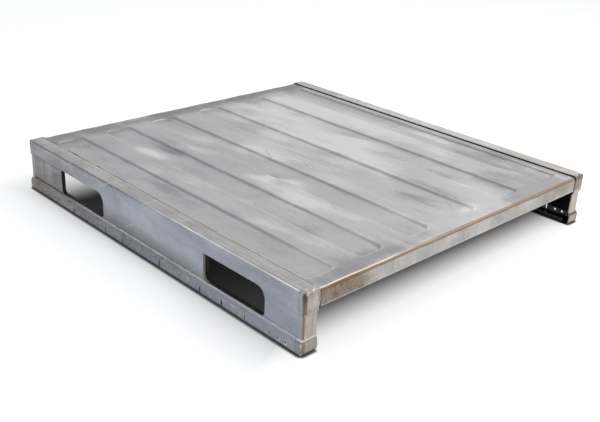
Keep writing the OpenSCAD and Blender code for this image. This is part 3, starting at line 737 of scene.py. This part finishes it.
# %% Finish of the runners
def runner_finish(name, side):
    """side is -1 for the near runner and 1 for the far one: the far strip is the cleaner of the two."""
    m = Finish(name)
    out = m.times(m.y, side)
    facing = m.times(m.ny, side)
    m.colour, cloud, patch = wall_steel(m)
    # dirt lies under the pressing's upper edge at the rear, and runs down from it
    runs = m.noise(1.0, 3.0, 0.6, (34, 34, 3.0), (0, 0, 4))
    under = m.times(m.span(m.x, -0.415, -0.432), m.span(m.z, 0.1160, 0.1135))
    m.lay((0.185, 0.175, 0.165), under, m.span(runs, 0.40, 0.60), 0.7)
    smudge = m.times(m.span(patch, 0.50, 0.62), m.span(m.x, -0.20, -0.50), m.span(m.z, 0.13, 0.08), 0.7)
    m.lay((0.15, 0.13, 0.11), smudge)
    # painted shade: a dark line in the crease along the pressing's upper edge
    crease_shade = m.times(under, m.band(m.z, 0.1135, 0.0008, 0.0030))
    m.lay((0.085, 0.08, 0.078), crease_shade, 0.75)
    low = m.times(m.span(m.z, 0.092, 0.046), m.span(out, 0.566, 0.570), m.span(m.x, 0.42, 0.15), 0.70)
    m.lay((0.19, 0.185, 0.19), low)
    brown = m.times(m.span(m.noise(7.0, 4.0, 0.6, (1, 1, 2), (8, 1, 2)), 0.54, 0.68), 0.30)
    m.lay((0.32, 0.27, 0.235), brown)
    # the strip on top
    top = m.times(m.span(m.nz, 0.55, 0.92), m.span(m.z, 0.150, 0.155))
    m.lay(strip_steel(m, side, patch), top)
    broken = m.span(m.noise(30.0, 3.0, 0.6, (0.4, 1, 1), (4, 0, 0)), 0.35, 0.62)
    rubbed = m.times(m.span(m.x, -0.37, -0.31), m.span(m.x, -0.01, -0.02)) if side < 0 else 0.35
    inner_line = m.times(m.span(m.nz, 0.3, 0.6), m.span(out, 0.5345, 0.5330), m.span(m.z, 0.1550, 0.1560))
    m.lay((0.80, 0.78, 0.75), inner_line, rubbed, m.blend(broken, 0.50, 0.95))
    # painted highlight on the outer fold towards the front, and a dark line on it at the rear
    fold = m.times(m.band(m.nz, 0.74, 0.06, 0.11), m.span(m.z, 0.150, 0.153), m.span(facing, 0.1, 0.35))
    front = m.span(m.x, -0.16, 0.20)
    m.lay((0.98, 0.96, 0.92), fold, front, m.blend(broken, 0.5, 1.0))
    dull = m.times(m.band(m.nz, 0.55, 0.16, 0.16), m.span(m.z, 0.148, 0.152), m.span(facing, 0.1, 0.35))
    m.lay((0.15, 0.14, 0.135), dull, m.less(1.0, front), 0.7)
    # rust at the rear end and in small spots
    edge = m.times(m.span(m.x, -0.560, -0.585), m.span(patch, 0.44, 0.64), 0.5)
    m.lay(RUST, edge, 0.6)
    speckle = m.times(m.span(m.noise(60.0, 5.0, 0.7, shift=(7, 1, 2)), 0.60, 0.68), m.span(cloud, 0.46, 0.60))
    m.lay((0.19, 0.165, 0.15), speckle, 0.40)
    # painted shade on the window's lip, dark below and at the rear, with a painted beige highlight at the
    # front window's rear corner
    lip = m.times(m.span(out, 0.5588, 0.5594), m.span(facing, 0.75, 0.40), m.span(m.z, 0.150, 0.140))
    lip = m.times(lip, m.span(m.z, 0.036, 0.040))
    frayed = m.span(patch, 0.30, 0.50, 0.4, 1.0)
    worn = m.times(m.band(m.x, 0.262, 0.010, 0.006), frayed, m.span(out, 0.5640, 0.5660))
    lip_shade = m.ramp(patch, 0.42, 0.62, (0.035, 0.034, 0.03), (0.075, 0.07, 0.062))
    tint = m.mix(worn, lip_shade, (0.50, 0.45, 0.39))
    m.lay(tint, lip, m.span(out, 0.5714, 0.5706))
    # painted shade: inside, and on the turn-down beside the deck, the sheet is made near black
    inward = m.times(m.span(facing, -0.4, -0.8), m.span(out, 0.5700, 0.5694))
    hidden = m.times(m.most(m.span(out, 0.5590, 0.5586), inward), m.span(m.z, 0.1562, 0.1554))
    blue = m.ramp(m.z, 0.070, 0.085, SHADE_BLACK, (0.022, 0.023, 0.030))
    m.lay(blue, hidden, 0.97)
    mark = m.scratches(0.010, upright=True)
    m.lay((0.60, 0.61, 0.66), mark, 0.30)
    rough = m.blend(m.span(cloud, 0.35, 0.65), 0.50, 0.40)
    rough = m.blend(top, rough, 0.55)
    metal = m.blend(m.most(top, edge, smudge, lip), 0.70, 0.25)
    metal = m.blend(hidden, metal, 0.9)
    height = m.add(m.times(patch, 0.8), m.times(m.noise(380.0, 2.0, 0.6), 0.2))
    return m.finish(metal, rough, height, 0.0005, 0.0010)


def dress(node, material):
    """Puts a material into every slot of a CAD node's object."""
    for slot in nodes[node].material_slots:
        slot.material = material
    if not nodes[node].material_slots:
        nodes[node].data.materials.append(material)
    print(node, "dressed with", material.name)


dress("runner_near", runner_finish("runner_near_steel", -1))
dress("runner_far", runner_finish("runner_far_steel", 1))

# %% [markdown]
# The skids drag over concrete. Their foot band carries on the wall's steel, a little darker, with grey
# brown dirt and rust at the rear corner, and light chips where it was last scraped. A painted highlight
# runs along the cut edge of the lap towards the front and turns dark towards the rear, a painted highlight
# lies round each drain hole, and painted shade makes the underside and the inner face black. The places of
# the slots and holes are the solid's own, so that each rubbed rim lies round its opening.

# %% Finish of the skids
HOLES, HOLE_Z = (0.5585, 0.5345), 0.015
SLOT_PITCH, SLOT_SHIFT = 0.0854, -0.008


def skid_finish():
    m = Finish("skid_steel")
    wall, cloud, patch = wall_steel(m)
    fine = m.noise(110.0, 4.0, 0.7, (0.7, 1, 1), (3, 3, 1))
    m.colour = m.mix(0.24, wall, (0.15, 0.148, 0.15))
    grime = m.span(m.add(m.times(fine, 0.55), m.times(patch, 0.45)), 0.44, 0.60)
    m.lay((0.17, 0.155, 0.14), grime, m.span(m.x, 0.35, -0.35, 0.25, 0.65))
    rear = m.span(m.x, -0.36, -0.50)
    tan = m.ramp(fine, 0.38, 0.60, (0.14, 0.088, 0.05), (0.40, 0.33, 0.27))
    rusty = m.most(m.times(rear, m.span(patch, 0.36, 0.54), 0.85), m.times(m.span(patch, 0.60, 0.70), 0.35))
    m.lay(tan, rusty)
    pits = m.times(m.span(fine, 0.58, 0.63), m.span(m.x, -0.2, -0.5, 0.35, 0.9))
    m.lay((0.05, 0.035, 0.025), pits, 0.8)
    out = m.size(m.y)
    m.lay((0.42, 0.43, 0.50), m.span(m.x, 0.15, 0.45), 0.8)
    # painted light on the cut edge of the lap: a highlight towards the front, dark towards the rear
    lap = m.times(m.span(m.z, 0.0390, 0.0402), m.blend(m.span(m.noise(24.0, 2.0), 0.36, 0.60), 0.50, 1.0))
    lap_edge_light = m.ramp(m.x, -0.45, -0.25, (0.10, 0.09, 0.08), (0.70, 0.70, 0.72))
    m.lay(lap_edge_light, lap, 0.85)
    # painted shade: a dark line in the crease below the lap
    crease_shade = m.band(m.z, 0.0335, 0.0012, 0.0030)
    m.lay((0.10, 0.098, 0.098), crease_shade, 0.28)
    spots = m.span(m.noise(85.0, 2.0, 0.6, (0.6, 1, 1.2), (5, 0, 2)), 0.62, 0.66)
    chips = m.times(spots, m.span(m.x, 0.05, 0.35, 0.15, 1.0))
    m.lay((0.72, 0.72, 0.73), chips, m.band(m.z, 0.018, 0.008, 0.004), 0.85)
    # a rubbed or rusty rim beside each slot
    from_slot = m.math("PINGPONG", m.less(m.x, SLOT_SHIFT), SLOT_PITCH / 2)
    rim = m.times(m.span(from_slot, 0.0048, 0.0026), m.band(m.z, 0.0155, 0.009, 0.003))
    rim_steel = m.ramp(patch, 0.45, 0.55, (0.17, 0.12, 0.085), (0.62, 0.61, 0.60))
    m.lay(rim_steel, rim, 0.6)
    # a painted highlight: a bright crescent round one side of each drain hole
    for place in HOLES:
        dx, dz = m.less(m.x, place), m.less(m.z, HOLE_Z)
        gone = m.math("SQRT", m.add(m.times(dx, dx), m.times(dz, dz)))
        lit = m.span(m.less(dx, dz), -0.0025, 0.0010)
        ring = m.times(m.band(gone, 0.0042, 0.0010, 0.0009), lit)
        m.lay((0.85, 0.85, 0.87), ring, 0.9)
    # painted shade: the underside and the inner face are near black
    low = m.span(m.z, 0.0085, 0.0035)
    inner = m.span(out, 0.5712, 0.5706)
    m.lay(SHADE_BLACK, m.most(low, inner), 0.96)
    lip = m.times(m.span(m.z, 0.0120, 0.0128), m.span(out, 0.540, 0.535))
    m.lay((0.35, 0.33, 0.32), lip, 0.8)
    rough = m.blend(m.span(cloud, 0.36, 0.66), 0.58, 0.46)
    metal = m.blend(m.most(rusty, grime), 0.60, 0.15)
    metal = m.blend(m.most(low, inner), metal, 0.9)
    height = m.add(m.times(patch, 0.6), m.times(fine, 0.4))
    return m.finish(metal, rough, height, 0.0006, 0.0010)


skid_material = skid_finish()
for node in ("skid_near", "skid_far"):
    dress(node, skid_material)

# %% [markdown]
# The shoes take every knock. Their side faces carry on the wall and their tops the strip. The end faces are
# rubbed to a warm beige and the upright corner is brown with rust. Painted highlights run along the edges of
# the ledge and of the recess, bright chips show on the top and along the side's rim, and painted shade makes
# the bottom and the inner faces black.

# %% Finish of the shoes
def shoe_finish(name, node):
    """The finish of one shoe, with its layers placed from the shoe's own outer and inner faces."""
    (x0, y0, _), (x1, y1, _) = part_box(node)
    end = x1 if abs(x1) > abs(x0) else x0
    outer, inner = (y0, y1) if abs(y0) > abs(y1) else (y1, y0)
    side = 1 if outer > 0 else -1
    rear = end < 0
    m = Finish(name)
    wall, cloud, patch = wall_steel(m)
    blots = m.noise(24.0, 4.0, 0.6)
    fine = m.noise(120.0, 5.0, 0.65, shift=(3, 3, 1))
    runs = m.noise(1.0, 3.0, 0.6, (120, 120, 9), (0, 2, 1))
    from_end = m.size(m.less(m.x, end))
    from_side = m.size(m.less(m.y, outer))
    from_inner = m.size(m.less(m.y, inner))
    # the side face is the wall's steel, dulled below as the skid is
    foot = m.span(m.z, 0.044, 0.036)
    m.colour = m.mix(m.times(foot, 0.35), wall, (0.17, 0.155, 0.15))
    m.lay(strip_steel(m, side, patch), m.span(m.nz, 0.55, 0.90))
    tone = m.add(m.times(blots, 0.4), m.add(m.times(runs, 0.35), m.times(fine, 0.25)))
    beige = m.ramp(tone, 0.40, 0.62, (0.36, 0.31, 0.27), (0.52, 0.475, 0.43))
    if side > 0:
        block = m.ramp(tone, 0.40, 0.62, (0.32, 0.265, 0.21), (0.43, 0.38, 0.32))
        beige = m.mix(0.50, beige, (0.64, 0.605, 0.55))
        over_foot = m.times(m.band(m.z, 0.0345, 0.0034, 0.0035), 0.95)
        beige = m.mix(over_foot, beige, (0.12, 0.075, 0.045))
    else:
        block = m.ramp(tone, 0.40, 0.60, (0.47, 0.425, 0.375), (0.68, 0.635, 0.58))
    beige = m.ramp(m.z, 0.108, 0.120, beige, block)
    face = m.span(m.size(m.nx), 0.45, 0.80)
    m.lay(beige, face)
    # rust along the upright corner, over the top of the face, on the foot and on the inner edge
    upright = m.span(m.size(m.nz), 0.6, 0.3)
    at_end = m.span(from_end, 0.0085, 0.0060)
    corner = m.times(m.band(from_side, 0.0055, 0.0050, 0.0045), at_end, upright, 0.25 if rear else 1.0)
    brow = m.times(m.span(from_end, 0.012, 0.007), m.span(m.z, 0.136, 0.151), 0.80 if side > 0 else 0.45)
    sole = m.times(m.span(m.z, 0.033, 0.028), m.span(fine, 0.30, 0.55), face, 0.30)
    hem = m.times(m.span(from_inner, 0.0045, 0.0015), m.span(patch, 0.42, 0.62), 0.5)
    back = m.times(m.span(from_end, 0.0185, 0.0215), m.span(patch, 0.45, 0.62), 0.45)
    ledge = m.times(m.band(m.z, 0.0345, 0.0015, 0.0030), m.span(fine, 0.30, 0.50), 0.55)
    rims = m.most(m.times(corner, m.blend(m.span(fine, 0.35, 0.6), 0.70, 1.0)), brow, sole, hem, back, ledge)
    rust = m.ramp(fine, 0.38, 0.62, (0.11, 0.062, 0.038), RUST)
    m.lay(rust, rims, 0.88)
    high = m.span(m.z, 0.118, 0.150)
    top_corner = m.times(m.band(from_side, 0.004, 0.005, 0.005), high, m.span(from_end, 0.012, 0.007))
    strength = 0.1 if rear else 0.25 if side > 0 else 0.8
    m.lay((0.045, 0.028, 0.02), top_corner, strength)
    # painted shade: the bottom and the inner faces are near black
    low = m.span(m.z, 0.0075, 0.003)
    within = m.times(m.span(m.times(m.ny, side), -0.5, -0.9), m.span(from_inner, 0.002, 0.004))
    m.lay(SHADE_BLACK, m.most(low, within), 0.95)
    # painted highlights along the edges of the ledge and the recess, and bright chips on the top and along
    # the side's rim at the end
    flake, side_rim = m.span(fine, 0.46, 0.56), m.band(from_side, 0.0020, 0.0010, 0.0012)
    bright = m.most(
        m.times(m.band(m.z, 0.0385, 0.0010, 0.0018), m.span(m.nz, 0.15, 0.45), m.span(fine, 0.30, 0.45)),
        m.times(m.band(m.z, 0.1035, 0.0010, 0.0016), face, m.span(fine, 0.36, 0.52), 0.8),
        m.times(m.span(m.z, 0.1545, 0.1570), m.span(fine, 0.55, 0.62), 0.6),
        m.times(side_rim, m.span(from_end, 0.010, 0.006), flake, 0.6),
    )
    m.lay((0.93, 0.90, 0.86), bright, 0.9)
    rough = m.blend(m.span(tone, 0.36, 0.66), 0.58, 0.44)
    metal = m.blend(m.most(rims, top_corner), 0.55, 0.1)
    metal = m.blend(m.most(low, within), metal, 0.9)
    height = m.add(m.times(blots, 0.7), m.times(fine, 0.3))
    return m.finish(metal, rough, height, 0.0009, 0.0015)


for node in ("shoe_near_front", "shoe_near_rear", "shoe_far_front", "shoe_far_rear"):
    dress(node, shoe_finish(node + "_steel", node))

# %% [markdown]
# A weld joins the deck's flange to each shoe of the near runner. A bead is a tube whose radius swells and
# shrinks as the welder's hand moved, so its ripples come from two sines of the length along the path.

# %% Weld beads at the near corners
BEAD_R, BEAD_Y = 2.9, -525.6
BEAD_PATH = (   # places in X and Z, from the top of the shoe down its joint with the flange
    (588.0, 154.4), (596.6, 154.2), (602.0, 152.4), (604.9, 147.8),
    (605.8, 141.0), (605.8, 126.0), (605.8, 113.0),
)


def bead_surface(end):
    """Rings round a smoothed path in (x, z): centre(s) + r(s) (cos t normal + 0.8 sin t Y), with
    r = R (1 + 0.16 sin(0.9 s) + 0.07 sin(2.3 s + 1)), closed to a point at both ends."""
    path = np.array(BEAD_PATH, float)
    along = np.linspace(0, len(path) - 1, 90)
    x = np.interp(along, range(len(path)), path[:, 0])
    z = np.interp(along, range(len(path)), path[:, 1])
    kernel = np.ones(9) / 9
    x, z = (np.convolve(np.pad(v, 4, "edge"), kernel, "valid") for v in (x, z))
    gone = np.concatenate(([0], np.cumsum(np.hypot(np.diff(x), np.diff(z)))))
    radius = BEAD_R * (1 + 0.16 * np.sin(0.9 * gone) + 0.07 * np.sin(2.3 * gone + 1))
    radius = radius * np.sqrt(np.clip(np.minimum(gone, gone[-1] - gone) / 3, 0, 1))
    dx, dz = np.gradient(x), np.gradient(z)
    size = np.hypot(dx, dz)
    nx, nz = -dz / size, dx / size
    turn = np.linspace(0, 2 * np.pi, 16, endpoint=False)
    ring = np.empty((len(x), len(turn), 3))
    ring[..., 0] = end * (x[:, None] + radius[:, None] * nx[:, None] * np.cos(turn))
    ring[..., 1] = BEAD_Y + 0.8 * radius[:, None] * np.sin(turn)
    ring[..., 2] = z[:, None] + radius[:, None] * nz[:, None] * np.cos(turn)
    return ring


def tube_faces(rings, sides, flip):
    """Quads between neighbouring rings, turned round when flip is true so that they face outwards."""
    index = np.arange(rings * sides).reshape(rings, sides)
    after = np.roll(index, -1, axis=1)
    quads = np.stack((index[:-1], index[1:], after[1:], after[:-1]), axis=-1).reshape(-1, 4)
    return quads[:, ::-1] if flip else quads


def bead_finish():
    m = Finish("weld_bead")
    fine = m.noise(300.0, 4.0, 0.65)
    m.colour = m.ramp(fine, 0.36, 0.56, (0.26, 0.20, 0.16), (0.55, 0.49, 0.44))
    return m.finish(0.5, 0.5, fine, 0.0005)


bead_material = bead_finish()
for end, name in ((1, "weld_near_front"), (-1, "weld_near_rear")):
    rings = bead_surface(end)
    bead = make_mesh(name, rings.reshape(-1, 3) * MM, tube_faces(*rings.shape[:2], end > 0), bead_material)
    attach(bead, "root")

# %% [markdown]
# Bars, beams and web plates sit in the dark under the deck. They keep a dull mill skin with dust and a
# little rust.

# %% Finish of the hidden frame
def frame_finish():
    m = Finish("frame_steel")
    cloud = m.noise(14.0, 5.0, 0.6)
    patch = m.noise(60.0, 5.0, 0.65)
    m.colour = m.ramp(cloud, 0.35, 0.65, (0.10, 0.097, 0.095), (0.21, 0.20, 0.195))
    m.lay((0.17, 0.095, 0.055), m.span(patch, 0.55, 0.70), 0.7)
    return m.finish(0.45, 0.62, m.add(m.times(patch, 0.8), m.times(cloud, 0.2)), 0.0006, 0.0008)


frame_material = frame_finish()
for node in nodes:
    if node.startswith(("cross_bar", "end_beam", "web_plate")):
        dress(node, frame_material)

# %% [markdown]
# The floor is white paper to the camera and matt grey to the lamps. A glow that only camera, mirror and
# glass rays can see lifts it to white, so the lamps stay at a plain level. As a painted shadow, both the
# glow and the grey fade out under the pallet, over 14 cm inside its front end and 18 cm inside its rear
# end, and the glow comes back slowly beside the skids and behind the rear end, as the painted edge of a soft
# shadow. Ambient Occlusion takes it away close to each skid, which paints the thin black contact line.
# Behind the floor's edge the camera sees plain white, and mirrors see a pale grey.

# %% Floor and world
GLOW, LEAST_GLOW = 0.66, 0.008
FLOOR_HALF = 9.0         # half the floor's side
SKID_SIDE = 0.578        # how far from the middle the floor comes out from under a skid
CONTACT_REACH = 0.011    # how near the steel is where the contact line darkens


def seen_by_eye(tree):
    """1 for rays from the camera, a mirror or glass, 0 for rays that carry light between surfaces."""
    path = tree.nodes.new("ShaderNodeLightPath")
    result = path.outputs["Is Camera Ray"]
    for name in ("Is Glossy Ray", "Is Transmission Ray"):
        larger = tree.nodes.new("ShaderNodeMath")
        larger.operation = "MAXIMUM"
        tree.links.new(result, larger.inputs[0])
        tree.links.new(path.outputs[name], larger.inputs[1])
        result = larger.outputs[0]
    return result


def make_floor():
    m = Finish("paper_floor")
    out_of_front, out_of_rear = m.span(m.x, 0.456, 0.596), m.span(m.x, -0.415, -0.60)
    from_side = m.less(m.size(m.y), SKID_SIDE)
    out_of_sides = m.span(from_side, -0.018, 0.0)
    beside = m.tree.nodes.new("ShaderNodeAmbientOcclusion")
    beside.samples = 16
    beside.inputs["Distance"].default_value = CONTACT_REACH
    contact = m.span(beside.outputs["AO"], 0.54, 0.97)
    reach = m.math("DIVIDE", from_side, m.span(m.x, 0.1, 0.5, 0.10, 0.15), clamp=True)
    left = m.less(1.0, reach)
    soft_side = m.times(out_of_sides, m.less(1.0, m.times(left, left, 0.46)))
    soft_rear = m.times(out_of_rear, m.span(m.x, -0.60, -0.76, 0.80, 1.0))
    # painted shadow: the glow fades out under the pallet and beside the skids, and darkens to a contact line
    # close to the steel
    glow = m.add(m.times(m.most(out_of_front, soft_rear, soft_side), contact, GLOW), LEAST_GLOW)
    m.join(m.times(seen_by_eye(m.tree), glow), m.shader.inputs["Emission Strength"])
    # painted shadow in the floor's grey as well
    free = m.times(m.most(out_of_front, out_of_rear, out_of_sides), contact)
    m.shader.inputs["Emission Color"].default_value = (1, 1, 1, 1)
    m.shader.inputs["Specular IOR Level"].default_value = 0.0
    m.shader.inputs["Roughness"].default_value = 1.0
    m.join(m.mix(free, (0.19, 0.19, 0.19), (0.5, 0.5, 0.5)), m.shader.inputs["Base Color"])
    corners = FLOOR_HALF * np.array([(-1, -1, 0), (1, -1, 0), (1, 1, 0), (-1, 1, 0)], float)
    floor = make_mesh("floor", corners, np.array([[0, 1, 2, 3]]), m.material)


def background(tree, colour, strength):
    node = tree.nodes.new("ShaderNodeBackground")
    node.inputs["Color"].default_value = (*colour, 1)
    node.inputs["Strength"].default_value = strength
    return node.outputs[0]


def choose(tree, share, a, b):
    """Shader a where share is 0, shader b where it is 1."""
    node = tree.nodes.new("ShaderNodeMixShader")
    for socket, value in zip(node.inputs, (share, a, b)):
        tree.links.new(value, socket)
    return node.outputs[0]


def make_world():
    """A dim even light on the steel, a pale grey for mirrors and glass, and white for the camera."""
    world = bpy.data.worlds.new("studio")
    scene.world = world
    world.use_nodes = True
    tree = world.node_tree
    tree.nodes.clear()
    light = background(tree, (0.94, 0.96, 1.0), 0.55)
    mirrored = background(tree, (0.8, 0.8, 0.8), 1.0)
    white = background(tree, (1, 1, 1), 1.0)
    camera_ray = tree.nodes.new("ShaderNodeLightPath").outputs["Is Camera Ray"]
    around = choose(tree, seen_by_eye(tree), light, mirrored)
    out = tree.nodes.new("ShaderNodeOutputWorld")
    tree.links.new(choose(tree, camera_ray, around, white), out.inputs["Surface"])


make_floor()
make_world()

# %% [markdown]
# Three large soft lamps. The main one hangs behind the pallet and to the right, which lights the walls of
# the pressings that face it and throws the shadow towards the camera. A low one from the right lights the
# end flange. A faint blue one from the left fills the wall of the near runner.

# %% Lamps
def soft_lamp(name, place, aim, width, height, watts, colour):
    """A rectangular area lamp at a place, turned to look at aim."""
    data = bpy.data.lights.new(name, "AREA")
    data.shape, data.size, data.size_y = "RECTANGLE", width, height
    data.energy, data.color = watts, colour
    lamp = bpy.data.objects.new(name, data)
    scene.collection.objects.link(lamp)
    lamp.location = place
    lamp.rotation_mode = "QUATERNION"
    lamp.rotation_quaternion = (Vector(aim) - Vector(place)).to_track_quat("-Z", "Y")
    print(name, "at", place, "with", watts, "W")


soft_lamp("main_lamp", (0.6, 2.1, 2.4), (0, 0.1, 0.1), 2.4, 1.6, 46, (1.0, 0.985, 0.96))
soft_lamp("side_lamp", (3.3, -0.3, 1.4), (0.5, 0, 0.1), 1.6, 1.4, 20, (1.0, 0.97, 0.93))
soft_lamp("fill_lamp", (-1.2, -3.0, 1.6), (-0.1, -0.5, 0.1), 2.0, 1.4, 10, (0.86, 0.92, 1.0))

# %% [markdown]
# The picture is shown as it is, with the plain Standard view. Dressing must not make the pallet bigger
# than its solids.

# %% View
scene.view_settings.view_transform = "Standard"
